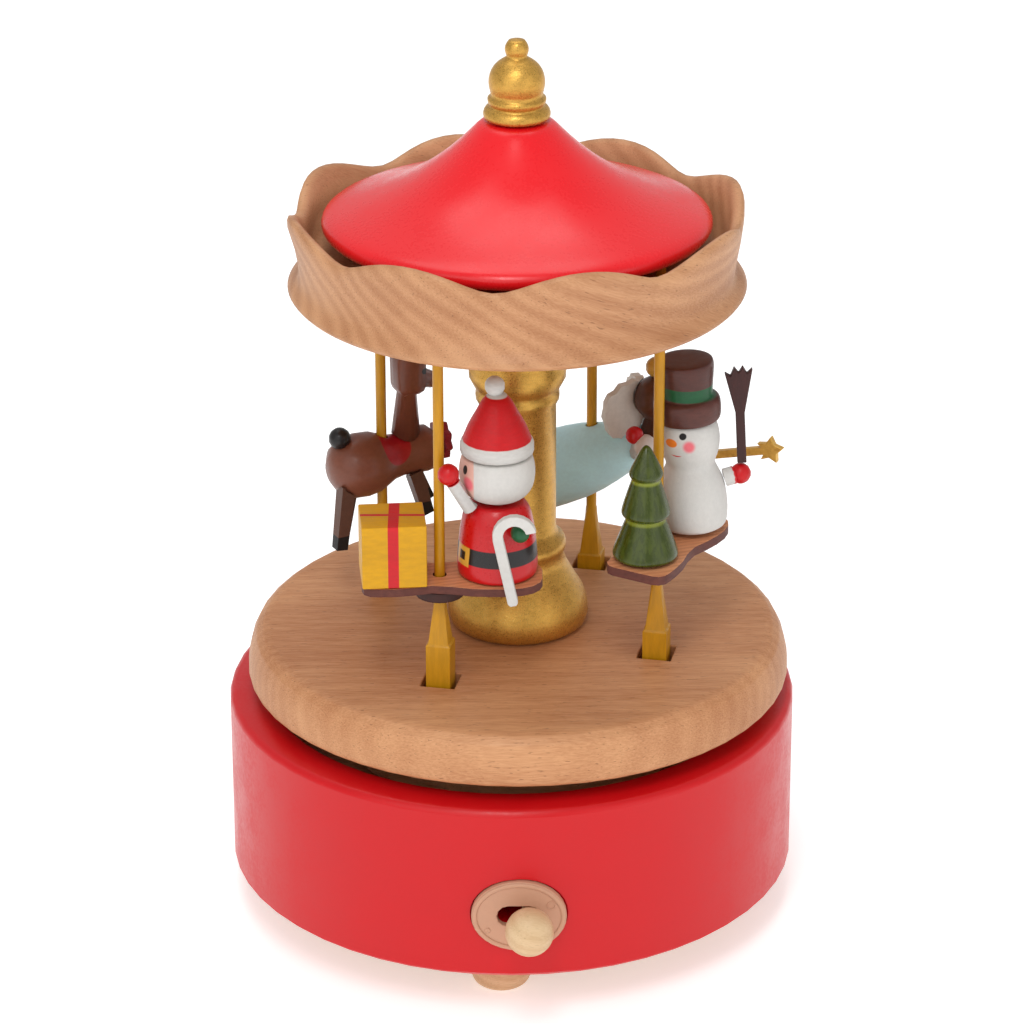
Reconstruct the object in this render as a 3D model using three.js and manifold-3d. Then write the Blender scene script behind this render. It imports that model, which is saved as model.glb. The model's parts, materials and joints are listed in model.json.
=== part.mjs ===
// Carousel music box: a turned wooden drum with a wind-up movement, a turning platform with a
// column and a canopy, and four riders on poles that rise and fall on a wavy cam ring.
// Millimetres, +Z up, z = 0 under the feet, the switch faces -Y.
import * as THREE from 'three';
import { mergeVertices } from 'three/addons/utils/BufferGeometryUtils.js';
import Module from 'manifold-3d';

const wasm = await Module();
wasm.setup();

// ---- driving dimensions -------------------------------------------------------------------
const FOOT_H = 9.5;
const DRUM_R = 60;
const DRUM_X = -1.4;
const DRUM_Z0 = FOOT_H;
const FOOT_CIRCLE_R = 43.8;
const FOOT_PHASE = -3;
const DRUM_Z1 = 47.8;
const WELL_R = 52;
const CAVITY_R = 50;
const COVER_R = 53.9;
const DECK_Z0 = 33.5;
const DECK_Z1 = 36.2;
const DISC_Z0 = 51.7;
const DISC_Z1 = 62.3;
const DISC_R = 57.3;
const BAND_Z0 = 137.6;
const BAND_FLOOR_Z = 145.2;
const BAND_VALLEY_Z = 152.1;
const BAND_PEAK_Z = 156.9;
const SCALLOPS = 8;
const SCALLOP_PHASE = -6;
const ROOF_R = 40.3;
const FINIAL_Z = 174.5;
const ROD_R = 2.0;
const FIT = 0.3;

const POLE_CIRCLE_R = 33;
const POLE_R = 1.1;
const POLE_TOP_Z = 149.3;
const POLE_AZIMUTH = -29;
const LIFT = 3;
const BLOCK_W = 5.2;
const BLOCK_YAW = 17;
const SLOT_W = 7.2;
const BLOCK_TOP_Z = 68.4;
const CROTCH_Z = 48.3;
const LEG_Z = 40.9;
const CAM_MID_Z = 42;
const CAM_WALL = 1.5;

const SWITCH_Z = 24.2;
const SWITCH_X = 2.1;

const group = new THREE.Group();
group.name = 'carousel_music_box';

// ---- geometry helpers ---------------------------------------------------------------------
const rad = (degrees) => (degrees * Math.PI) / 180;

// Azimuth is counted from the front (-Y), positive towards +X.
function polar(radius, azimuth) {
  return [radius * Math.sin(rad(azimuth)), -radius * Math.cos(rad(azimuth))];
}

function signedVolume(geometry) {
  const p = geometry.getAttribute('position');
  const index = geometry.getIndex();
  const a = new THREE.Vector3();
  const b = new THREE.Vector3();
  const c = new THREE.Vector3();
  let volume = 0;
  for (let i = 0; i < index.count; i += 3) {
    a.fromBufferAttribute(p, index.getX(i));
    b.fromBufferAttribute(p, index.getX(i + 1));
    c.fromBufferAttribute(p, index.getX(i + 2));
    volume += a.dot(b.cross(c)) / 6;
  }
  return volume;
}

// Welds a geometry into one closed skin that faces out.
function solid(geometry) {
  const bare = new THREE.BufferGeometry();
  bare.setAttribute('position', geometry.getAttribute('position').clone());
  if (geometry.getIndex()) {
    bare.setIndex(geometry.getIndex().clone());
  }
  const welded = mergeVertices(bare, 1e-4);
  const index = welded.getIndex();
  const kept = [];
  for (let i = 0; i < index.count; i += 3) {
    const t = [index.getX(i), index.getX(i + 1), index.getX(i + 2)];
    if (t[0] !== t[1] && t[1] !== t[2] && t[2] !== t[0]) {
      kept.push(...t);
    }
  }
  welded.setIndex(kept);
  if (signedVolume(welded) < 0) {
    for (let i = 0; i < kept.length; i += 3) {
      [kept[i + 1], kept[i + 2]] = [kept[i + 2], kept[i + 1]];
    }
    welded.setIndex(kept);
  }
  return welded;
}

function toManifold(geometry) {
  const clean = solid(geometry);
  return new wasm.Manifold(new wasm.Mesh({
    numProp: 3,
    vertProperties: new Float32Array(clean.getAttribute('position').array),
    triVerts: new Uint32Array(clean.getIndex().array),
  }));
}

function fromManifold(body) {
  const mesh = body.getMesh();
  const geometry = new THREE.BufferGeometry();
  geometry.setAttribute('position', new THREE.BufferAttribute(new Float32Array(mesh.vertProperties), 3));
  geometry.setIndex(new THREE.BufferAttribute(new Uint32Array(mesh.triVerts), 1));
  return geometry;
}

function cut(geometry, ...tools) {
  let body = toManifold(geometry);
  for (const tool of tools) {
    body = body.subtract(toManifold(tool));
  }
  return fromManifold(body);
}

function fuse(geometry, ...others) {
  let body = toManifold(geometry);
  for (const other of others) {
    body = body.add(toManifold(other));
  }
  return fromManifold(body);
}

// Turned shape about Z from [radius, z] points.
function turned(points, segments) {
  const profile = points.map(([r, z]) => new THREE.Vector2(r, z));
  return new THREE.LatheGeometry(profile, segments).rotateX(Math.PI / 2);
}

// Turned ring: the profile closes on itself.
function turnedRing(points, segments) {
  return turned([...points, points[0]], segments);
}

function rod(radius, z0, z1, segments = 12) {
  return turned([[0, z0], [radius, z0], [radius, z1], [0, z1]], segments);
}

function ball(radius, segments = 14, squash = 1) {
  const points = [];
  const steps = Math.round(segments / 2);
  for (let i = 0; i <= steps; i += 1) {
    const a = (Math.PI * i) / steps - Math.PI / 2;
    points.push([i === 0 || i === steps ? 0 : radius * Math.cos(a), radius * squash * Math.sin(a)]);
  }
  return turned(points, segments);
}

// The same turned profile made thicker all round, for cutting a glued neighbour back to a thin gap.
function grown(points, by) {
  const middle = points[Math.floor(points.length / 2)][1];
  return points.map(([r, z]) => [r === 0 ? 0 : r + by, z + (z > middle ? by : -by)]);
}

function box(x0, x1, y0, y1, z0, z1) {
  return new THREE.BoxGeometry(x1 - x0, y1 - y0, z1 - z0)
    .translate((x0 + x1) / 2, (y0 + y1) / 2, (z0 + z1) / 2);
}

// Flat plate of the given outline, thickness along Z from z0.
function plate(outline, z0, thickness) {
  const shape = new THREE.Shape(outline.map(([x, y]) => new THREE.Vector2(x, y)));
  return new THREE.ExtrudeGeometry(shape, { depth: thickness, bevelEnabled: false }).translate(0, 0, z0);
}

// Skin through a stack of rings with the same number of points, capped at both ends.
function loft(rings) {
  const count = rings[0].length;
  const positions = rings.flat(2);
  const index = [];
  for (let k = 0; k < rings.length - 1; k += 1) {
    for (let i = 0; i < count; i += 1) {
      const j = (i + 1) % count;
      const a = k * count + i;
      const b = k * count + j;
      index.push(a, b, b + count, a, b + count, a + count);
    }
  }
  const last = (rings.length - 1) * count;
  for (let i = 1; i < count - 1; i += 1) {
    index.push(0, i + 1, i);
    index.push(last, last + i, last + i + 1);
  }
  const geometry = new THREE.BufferGeometry();
  geometry.setAttribute('position', new THREE.Float32BufferAttribute(positions, 3));
  geometry.setIndex(index);
  return geometry;
}

// Ring-shaped body whose closed [radius, z] profile changes with the angle.
function sweepRing(profileAt, segments) {
  const sections = [];
  for (let i = 0; i < segments; i += 1) {
    const azimuth = (360 * i) / segments;
    sections.push(profileAt(azimuth).map(([r, z]) => [...polar(r, azimuth), z]));
  }
  const count = sections[0].length;
  const index = [];
  for (let i = 0; i < segments; i += 1) {
    const next = (i + 1) % segments;
    for (let k = 0; k < count; k += 1) {
      const up = (k + 1) % count;
      index.push(i * count + k, next * count + k, next * count + up);
      index.push(i * count + k, next * count + up, i * count + up);
    }
  }
  const geometry = new THREE.BufferGeometry();
  geometry.setAttribute('position', new THREE.Float32BufferAttribute(sections.flat(2), 3));
  geometry.setIndex(index);
  return geometry;
}

// Straight round or square bar between two points.
function bar(from, to, r0, r1, sides = 10) {
  const a = new THREE.Vector3(...from);
  const b = new THREE.Vector3(...to);
  const along = b.clone().sub(a);
  const turn = new THREE.Quaternion().setFromUnitVectors(new THREE.Vector3(0, 0, 1), along.clone().normalize());
  const shape = turned([[0, 0], [r0, 0], [r1, along.length()], [0, along.length()]], sides)
    .rotateZ(Math.PI / sides);
  return shape.applyQuaternion(turn).translate(...from);
}

function add(name, geometry, colour, roughness, metalness = 0) {
  const material = new THREE.MeshStandardMaterial({ color: colour, roughness, metalness });
  const mesh = new THREE.Mesh(solid(geometry), material);
  mesh.name = name;
  group.add(mesh);
  return mesh;
}

const WOOD = 0xd0a074;
const RED = 0xd62a34;
const GOLD = 0xc79a45;
const YELLOW = 0xd9a32c;
const STEEL = 0xb5b8bb;
const BRASS = 0xc8a24a;
const WHITE = 0xe6e2da;
const BROWN = 0x6f4636;
const DARK = 0x4b2d28;

// ---- drum, feet and deck ------------------------------------------------------------------
const drumProfile = [
  [54.3, DRUM_Z0], [58.9, DRUM_Z0], [60, DRUM_Z0 + 1], [60, DRUM_Z1 - 1.4], [59.6, DRUM_Z1 - 0.4],
  [58.6, DRUM_Z1], [WELL_R, DRUM_Z1], [WELL_R, DECK_Z0 - FIT], [CAVITY_R, DECK_Z0 - FIT],
  [CAVITY_R, 13.1], [54.3, 13.1],
];

function ellipsePrism(a, b, y0, y1, z, segments = 32) {
  const outline = [];
  for (let i = 0; i < segments; i += 1) {
    const t = (2 * Math.PI * i) / segments;
    outline.push([a * Math.cos(t), b * Math.sin(t)]);
  }
  return plate(outline, 0, y1 - y0).rotateX(Math.PI / 2).translate(0, y1, z);
}

function slotOutline(width, height, segments = 6) {
  const r = height / 2;
  const outline = [];
  for (const side of [1, -1]) {
    for (let i = 0; i <= segments; i += 1) {
      const t = -Math.PI / 2 + (Math.PI * i) / segments;
      outline.push([side * (width / 2 - r + r * Math.cos(t)), side * r * Math.sin(t)]);
    }
  }
  return outline;
}

function slotPrism(width, height, y0, y1, z) {
  return plate(slotOutline(width, height), 0, y1 - y0).rotateX(Math.PI / 2).translate(0, y1, z);
}

add('base_drum', cut(
  turnedRing(drumProfile, 52).translate(DRUM_X, 0, 0),
  ellipsePrism(10.05, 8.25, -62, -58.6, SWITCH_Z),
  slotPrism(9.6, 5.2, -62, -45, SWITCH_Z),
), RED, 0.35);

add('deck_plate', cut(rod(WELL_R - FIT, DECK_Z0, DECK_Z1, 36).translate(DRUM_X, 0, 0), rod(5, 0, 60, 20)), 0xb98d62, 0.7);
add('bottom_cover', cut(rod(COVER_R, 10, 12.8, 36).translate(DRUM_X, 0, 0), rod(3.4, 0, 60, 20)), 0xb98d62, 0.7);

for (let i = 0; i < 3; i += 1) {
  const [x, y] = polar(FOOT_CIRCLE_R, 120 * i + FOOT_PHASE);
  const foot = turned([[0, 0], [5.2, 0], [6.1, 0.8], [6.6, 2.6], [6.6, 9.7], [0, 9.7]], 20);
  add(`foot_${i + 1}`, foot.translate(DRUM_X + x, y, 0), WOOD, 0.6);
}

// The cam ring is one long wave: highest under the rider at the front left.
add('cam_ring', sweepRing((azimuth) => {
  const top = CAM_MID_Z + LIFT * Math.cos(rad(azimuth - POLE_AZIMUTH));
  const half = CAM_WALL / 2;
  return [
    [POLE_CIRCLE_R - 4, DECK_Z1 + FIT], [POLE_CIRCLE_R + 4, DECK_Z1 + FIT], [POLE_CIRCLE_R + 4, 37.5],
    [POLE_CIRCLE_R + half, 37.5], [POLE_CIRCLE_R + half, top], [POLE_CIRCLE_R - half, top],
    [POLE_CIRCLE_R - half, 37.5], [POLE_CIRCLE_R - 4, 37.5],
  ];
}, 44), 0xc39a70, 0.6);

// ---- switch -------------------------------------------------------------------------------
add('switch_plate', cut(
  ellipsePrism(9.75, 7.95, -60.7, -58.9, SWITCH_Z, 32),
  slotPrism(9.0, 4.6, -62, -45, SWITCH_Z),
), 0xd8b79a, 0.5);

const knob = turned([
  [0, 0], [1.5, 0], [1.5, 12], [2.3, 12.6], [4.3, 14], [5.2, 16.6], [5.0, 18.8], [3.9, 20.7], [1.9, 21.8], [0, 22],
], 18);
knob.rotateX(Math.PI / 2).translate(SWITCH_X, -49.8, SWITCH_Z);
add('switch_knob', knob, 0xe2c49a, 0.5);

// Flat stop lever on the end of the stem; its tip stands beside the governor's fan.
add('stop_lever', box(SWITCH_X - 1, SWITCH_X + 1, -49.4, -22, SWITCH_Z - 0.6, SWITCH_Z + 0.6), STEEL, 0.35, 0.9);

// ---- movement -----------------------------------------------------------------------------
add('movement_frame', cut(fuse(
  box(-26, 26, -30, 40, 13.2, 14.8),
  box(-18.2, -16.2, 18, 26, 14, 26),
  box(16.2, 18.2, 18, 26, 14, 26),
  box(-13, 13, 33, 39, 14, 22.5),
), rod(3.4, 0, 60, 16), bar([-30, 22, 21.5], [30, 22, 21.5], 1.6, 1.6, 12)), STEEL, 0.4, 0.9);

// Steel comb with its teeth towards the cylinder.
const combOutline = [[13, 39], [-13, 39], [-13, 33.5]];
const TEETH = 18;
for (let i = 0; i < TEETH; i += 1) {
  const x0 = -12.6 + i * 1.4;
  combOutline.push([x0, 33.5], [x0, 28.2 - 0.02 * i], [x0 + 0.9, 28.2 - 0.02 * i], [x0 + 0.9, 33.5]);
}
combOutline.push([13, 33.5]);
add('music_comb', plate(combOutline, 22.8, 1.0), STEEL, 0.3, 0.9);

const cylinderShape = turned([
  [0, -19], [1.2, -19], [1.2, -13], [5.2, -13], [5.2, 13], [1.2, 13], [1.2, 19], [0, 19],
], 24);
add('tune_cylinder', cylinderShape.rotateY(Math.PI / 2).translate(0, 22, 21.5), BRASS, 0.3, 0.9);

const fan = fuse(rod(0.8, 15.1, 31, 10), rod(2.0, 16.4, 20.4, 12), box(-4.2, 4.2, -0.4, 0.4, 23.4, 29));
add('governor_fan', fan.rotateZ(rad(90)).translate(-8.8, -24.5, 0), BRASS, 0.35, 0.9);

// Spring barrel with the great wheel on top; it turns with the platform.
const GEAR_TEETH = 30;
const gearOutline = [];
for (let i = 0; i < GEAR_TEETH; i += 1) {
  for (const [step, radius] of [[-0.32, 12.9], [-0.16, 14], [0.16, 14], [0.32, 12.9]]) {
    const [x, y] = polar(radius, (360 * (i + step)) / GEAR_TEETH);
    gearOutline.push([x, y]);
  }
}
add('spring_barrel', cut(
  fuse(turned([[0, 17.6], [10.4, 17.6], [11, 18.2], [11, 27.2], [0, 27.2]], 24), plate(gearOutline, 27.2, 1.5)),
  rod(ROD_R + FIT, 19.5, 40, 16),
), BRASS, 0.3, 0.9);

// Butterfly key under the base.
const wing = (side) => fuse(
  box(side > 0 ? 1 : -6.5, side > 0 ? 6.5 : -1, -0.8, 0.8, 2.4, 7.4),
  bar([side * 6.6, -0.8, 4.9], [side * 6.6, 0.8, 4.9], 2.5, 2.5, 16),
);
add('winding_key', fuse(rod(2.4, 2.2, 9.2, 16), rod(1.6, 8, 17.2, 14), wing(1), wing(-1)), BRASS, 0.35, 0.9);

// ---- turning platform, column and canopy ----------------------------------------------------
const poleAzimuths = [0, 90, 180, 270].map((turn) => POLE_AZIMUTH + turn);

function slotTool(azimuth, z0, z1) {
  const half = SLOT_W / 2;
  const [x, y] = polar(POLE_CIRCLE_R, azimuth);
  return box(-half, half, -half, half, z0, z1).rotateZ(rad(azimuth + BLOCK_YAW)).translate(x, y, 0);
}

add('platform_disc', cut(
  turned([
    [0, DISC_Z0], [56.4, DISC_Z0], [57.1, 52.2], [DISC_R, 53.2], [57.1, 55.6], [56.5, 58.4], [55.5, 60.6],
    [54, 61.9], [52.2, DISC_Z1], [0, DISC_Z1],
  ], 52),
  rod(ROD_R + FIT, 40, 70, 20),
  ...poleAzimuths.map((azimuth) => slotTool(azimuth, 45, 70)),
), WOOD, 0.5);

add('drive_hub', turnedRing([[ROD_R + FIT, 37.5], [7, 37.5], [9, 40], [9, 51.4], [ROD_R + FIT, 51.4]], 24), WOOD, 0.6);
add('centre_rod', rod(ROD_R, 20, 180.5, 16), STEEL, 0.3, 0.9);

add('column', turnedRing([
  [ROD_R + FIT, 62.6], [13.4, 62.6], [14.5, 63.5], [14.9, 65.3], [14.7, 67.4], [13.8, 70], [12.0, 73], [10.3, 76.2],
  [9.4, 78.6], [10.0, 79.4], [10.2, 80.6], [9.8, 81.9], [8.7, 82.7], [8.1, 84], [8.1, 112.6], [8.7, 113.4],
  [8.8, 114.6], [8.4, 115.6], [9.2, 116.6], [10.1, 118.4], [10.2, 120.4], [9.5, 122], [9.4, 124], [9.4, 141],
  [ROD_R + FIT, 141],
], 26), GOLD, 0.35, 0.6);

// Scalloped canopy: a turned bowl whose flared rim is cut into eight broad waves.
function scallop(azimuth) {
  const pitch = 360 / SCALLOPS;
  const phase = ((((azimuth - SCALLOP_PHASE) % pitch) + pitch) % pitch) / pitch;
  const fromValley = Math.min(phase, 1 - phase) * 2;
  return 0.5 - 0.5 * Math.cos(Math.PI * fromValley ** 0.72);
}

add('canopy_band', cut(sweepRing((azimuth) => {
  const s = scallop(azimuth);
  const top = BAND_VALLEY_Z + (BAND_PEAK_Z - BAND_VALLEY_Z) * s;
  const out = 46.2 + 2.1 * s;
  const low = 147.4 + 1.4 * s;
  return [
    [ROD_R + FIT, 141.3], [40.2, 141.3], [42.8, 140.2], [43.3, BAND_Z0 + 0.2], [45, BAND_Z0], [46.2, 138.1],
    [46.6, 139.2], [46.3, 140.6], [45.3, 141.9], [45.5, low], [out - 0.2, top - 1.6], [out - 0.9, top],
    [out - 2.2, top], [out - 3.4, top - 1.4], [42, BAND_FLOOR_Z + 1], [41, BAND_FLOOR_Z],
    [ROD_R + FIT, BAND_FLOOR_Z],
  ];
}, 56), ...poleAzimuths.map((azimuth) => {
  const [x, y] = polar(POLE_CIRCLE_R, azimuth);
  return rod(POLE_R + 0.35, 130, 150, 12).translate(x, y, 0);
})), WOOD, 0.55);

add('canopy_roof', turnedRing([
  [ROD_R + FIT, BAND_FLOOR_Z + FIT], [12, BAND_FLOOR_Z + FIT], [13, 154.3], [35.8, 154.3], [37, 150.5],
  [38.8, 150.5], [40, 151.5], [ROOF_R, 152.6], [39.9, 153.8], [38.4, 154.8], [33, 156.5], [27, 158.8], [21, 162],
  [16.5, 165.3], [13, 168.3], [10.4, 170.9], [8.4, 173], [7.2, 174.2], [ROD_R + FIT, 174.2],
], 36), RED, 0.35);

add('finial', turned([
  [0, 181], [ROD_R + FIT, 181], [ROD_R + FIT, FINIAL_Z], [6.2, FINIAL_Z], [6.9, 175], [7.05, 175.9], [6.6, 176.9],
  [5.6, 177.4], [6.06, 178], [6.06, 178.9], [5.3, 179.5], [5.85, 181.4], [5.86, 183], [5.4, 184.7], [4.2, 186.3],
  [2.4, 187.3], [2.1, 187.7], [2.5, 188.7], [2.5, 189.9], [1.7, 191], [0, 191.3],
], 20), GOLD, 0.35, 0.6);

// ---- poles with their sliding blocks --------------------------------------------------------
const poleSpots = poleAzimuths.map((azimuth) => polar(POLE_CIRCLE_R, azimuth));
const restLifts = [LIFT, 0, -LIFT, 0];

// Square section with softened corners, half width w, sharpness 0 (round) to 1 (square).
function blockSection(w, sharp, z) {
  const ring = [];
  for (let i = 0; i < 12; i += 1) {
    const t = (2 * Math.PI * (i + 0.5)) / 12;
    const c = Math.cos(t);
    const s = Math.sin(t);
    const square = 1 / Math.max(Math.abs(c), Math.abs(s));
    const r = w * (1 + (square - 1) * sharp);
    ring.push([r * c, r * s, z]);
  }
  return ring;
}

poleAzimuths.forEach((azimuth, i) => {
  const [x, y] = poleSpots[i];
  const half = BLOCK_W / 2;
  const body = loft([
    blockSection(half, 0.93, LEG_Z), blockSection(half, 0.93, BLOCK_TOP_Z - 0.5),
    blockSection(half - 0.45, 0.9, BLOCK_TOP_Z), blockSection(1.85, 0.6, BLOCK_TOP_Z + 4),
    blockSection(1.3, 0.2, BLOCK_TOP_Z + 8.5), blockSection(1.2, 0, 78.6), blockSection(POLE_R, 0, 78.8),
    blockSection(POLE_R, 0, POLE_TOP_Z),
  ]).rotateZ(rad(azimuth + BLOCK_YAW)).translate(x, y, 0);
  const gap = CAM_WALL / 2 + 0.4;
  const fork = turnedRing([
    [POLE_CIRCLE_R - gap, 30], [POLE_CIRCLE_R + gap, 30], [POLE_CIRCLE_R + gap, CROTCH_Z],
    [POLE_CIRCLE_R - gap, CROTCH_Z],
  ], 96);
  add(`pole_${i + 1}`, cut(body, fork).translate(0, 0, restLifts[i]), YELLOW, 0.45);
});

// ---- riders -----------------------------------------------------------------------------------
// Each rider is built around its own pole: origin on the pole's axis at the board's top, +X ahead.
function seat(geometry, rider, z, heading) {
  const [x, y] = poleSpots[rider];
  return geometry.rotateZ(rad(heading)).translate(x, y, z);
}

// Bone-shaped board: square ahead, round behind, with a narrower waist at the pole.
function boardOutline(front, back, wide, waist) {
  const outline = [];
  const steps = 14;
  for (const side of [1, -1]) {
    for (let i = 0; i <= steps; i += 1) {
      const k = side > 0 ? i : steps - i;
      const x = front - (front + back) * (0.5 - 0.5 * Math.cos((Math.PI * k) / steps));
      const ahead = Math.sqrt(1 - (1 - Math.min(1, (front - x) / 2.6)) ** 2);
      const behind = Math.sqrt(1 - (1 - Math.min(1, (x + back) / 7)) ** 2);
      const neck = Math.exp(-(((x - 0.5) / 5) ** 2));
      const half = wide * (0.65 + 0.35 * ahead) * (0.3 + 0.7 * behind);
      outline.push([x, side * (half - (wide - waist) * neck)]);
    }
  }
  return outline;
}

const poleHole = rod(POLE_R + FIT, -60, 60, 14);

// Rider 1: gift box in front, rounded gift-bringer figure behind, at the front left.
const board1 = 86.3;
const heading1 = 180;
const at1 = (geometry) => seat(geometry, 0, board1, heading1);
add('board_1', at1(cut(plate(boardOutline(15.8, 21, 7.4, 5.5), -1.8, 1.8), poleHole)), BROWN, 0.6);
add('collar_1', at1(cut(rod(5.1, -4.3, -2.1, 24), poleHole)), DARK, 0.6);
const giftBox = box(-6.6, 6.6, -6.2, 6.2, 0.3, 13.9).rotateZ(rad(5));
add('gift_box', at1(giftBox.translate(9.5, 1.4, 0)), YELLOW, 0.5);

const santaX = -11.8;
const santaY = -1.5;
const santaProfile = [
  [0, 0.3], [8, 0.3], [8.3, 0.9], [8.4, 2.5], [8.2, 6], [7.8, 9.5], [7.3, 12.5], [6.7, 14.6], [5.6, 15.9], [0, 15.9],
];
const santaBody = (by) => turned(grown(santaProfile, by), 22).translate(santaX, santaY, 0);
add('santa_body', at1(santaBody(0)), RED, 0.3);
const headProfile = [
  [0, 16.3], [4.4, 16.5], [6.4, 17.7], [7.5, 19.4], [7.9, 21.9], [7.8, 24], [7.3, 25.9], [6.9, 26.2], [0, 26.2],
];
const santaHead = (by) => turned(grown(headProfile, by), 22).translate(santaX, santaY, 0);
add('santa_head', at1(santaHead(0)), WHITE, 0.4);
const santaHat = turned([
  [0, 26.5], [6.9, 26.5], [7.5, 27], [7.5, 28.9], [7.1, 29.5], [6.8, 30.4], [6.2, 31.9], [5.4, 33.5], [4.5, 35.1],
  [3.1, 37.8], [1.8, 39.3], [0, 39.6],
], 20).translate(santaX, santaY, 0);
add('santa_hat', at1(fuse(santaHat, ball(2.1, 14).translate(santaX + 0.4, santaY, 41))), RED, 0.35);

// Raised arm beside the face: sleeve with a ball mitten.
add('santa_arm', at1(cut(fuse(
  bar([-6.4, 2.4, 15.8], [-2.9, 3.8, 22.2], 1.6, 1.5, 10),
  ball(2.25, 14).translate(-2, 4.1, 24),
), santaHead(FIT), santaBody(FIT))), WHITE, 0.4);
add('santa_mitten', at1(ball(2.1, 14).translate(-16.45, 7.15, 12.45)), 0x2f6b3c, 0.4);

// Candy cane: flat hook that hangs on the mitten.
const caneOutline = [];
for (let i = 0; i <= 10; i += 1) {
  const t = (Math.PI * i) / 10;
  caneOutline.push([4.5 * Math.cos(t), 4.5 * Math.sin(t)]);
}
caneOutline.push([-4.5, -14.4], [-4.05, -15], [-2.8, -15], [-2.35, -14.4]);
for (let i = 10; i >= 0; i -= 1) {
  const t = (Math.PI * i) / 10;
  caneOutline.push([2.35 * Math.cos(t), 2.35 * Math.sin(t)]);
}
const cane = plate(caneOutline, -0.9, 1.8).rotateZ(rad(12)).rotateX(Math.PI / 2).rotateZ(Math.PI);
add('candy_cane', at1(cane.translate(-15.3, 10.45, 13.3)), WHITE, 0.4);

// Rider 2: small tree in front, rounded snow figure behind, at the front right.
const board2 = 88;
const heading2 = 240;
const at2 = (geometry) => seat(geometry, 1, board2, heading2);
const boardPlate2 = plate(boardOutline(16.3, 17.5, 7, 5.4), -2, 2).translate(0, 2.9, 0);
add('board_2', at2(cut(boardPlate2, poleHole)), BROWN, 0.6);
add('collar_2', at2(cut(rod(5.3, -5.3, -2.3, 24), poleHole)), DARK, 0.6);

const tree = turned([
  [0, 0.3], [6.3, 0.3], [6.9, 1], [6.8, 2], [4.2, 8.6], [4, 9.1], [4.6, 9.5], [5.1, 10.1], [5.1, 10.9], [3.1, 17.2],
  [2.9, 17.6], [3.3, 18.1], [3.6, 18.7], [3.5, 19.4], [1.1, 24.4], [0, 25.2],
], 22);
add('tree', at2(tree.translate(8.85, 1.9, 0)), 0x4f6f2a, 0.25);

// The snow figure leans a little towards the left of its board.
const snowX = -9.3;
const snowY = 3.55;
const LEAN = 3.6;
const leaning = (geometry) => geometry
  .rotateZ(rad(60)).rotateY(rad(LEAN)).rotateZ(rad(-60)).translate(snowX, snowY, 0);
const snowProfile = [
  [0, 0.75], [6.4, 0.75], [7.1, 1.7], [7.4, 4.6], [7.3, 8], [6.7, 11.4], [5.9, 14], [5.6, 15.2], [6.2, 17.2],
  [6.6, 20.4], [6.3, 22.8], [5.6, 24.6], [0, 24.6],
];
const snow = (by) => leaning(turned(grown(snowProfile, by), 22));
add('snowman_body', at2(snow(0)), WHITE, 0.4);
add('snowman_hat', at2(leaning(turned([
  [0, 24.9], [6.6, 24.9], [7.05, 25.6], [7.1, 28.8], [6.6, 29.7], [5.5, 30], [5.4, 30.6], [5.9, 35], [6.1, 36.8],
  [5.8, 37.7], [5.2, 37.9], [0, 37.9],
], 22))), BROWN, 0.5);
add('snowman_arm', at2(cut(fuse(
  bar([-10.5, 6, 10.3], [-14.6, 10, 11.3], 1.9, 1.9, 10),
  ball(2.2, 14).translate(-15.6, 11, 11.5),
), snow(FIT))), WHITE, 0.4);

// Flat broom: slim stick that flares into a notched fan.
const broomOutline = [
  [-0.95, 0], [0.95, 0], [0.95, 11.2], [2.9, 20.2], [1.7, 19.4], [0.9, 21.3], [0, 20], [-0.9, 21.4], [-1.7, 19.8],
  [-2.9, 20.9], [-0.95, 11.2],
];
const broom = plate(broomOutline, -0.8, 1.6).rotateZ(rad(-3)).rotateX(Math.PI / 2).rotateZ(rad(-60));
add('broom', at2(broom.translate(-15.7, 11.2, 14.1)), DARK, 0.6);

// Rider 3: flying angel, carried by the pole through the robe, at the back right.
const robeZ = 87.4;
const heading3 = -25.5;
const at3 = (geometry) => seat(geometry, 2, robeZ, heading3);
const PITCH = 26;
const tilt = (geometry) => geometry.rotateY(rad(90 - PITCH));
const robeProfile = [
  [0, -15], [7.2, -15], [8, -14.2], [8.3, -12], [8.3, -9], [8.1, -4], [7.6, 0], [6.7, 4], [5.6, 8], [4.6, 12],
  [3.2, 14.4], [0, 14.8],
];
const robe = tilt(turned(robeProfile, 24));
const robeClear = tilt(turned(grown(robeProfile, FIT), 24));
add('angel_robe', at3(cut(robe, rod(POLE_R + FIT, -60, 60, 14))), 0x9fbfc4, 0.4);
const neck = (by) => bar([12.6, 0, 5], [15.2, 0, 12.6], 2.3 + by, 2.1 + by, 12);
add('angel_head', at3(cut(fuse(
  ball(5.15, 18).translate(15.5, 0, 16.4),
  ball(2.25, 14).translate(14.9, 0, 23.4),
  neck(0),
), robeClear)), 0x8a5a34, 0.4);

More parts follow.
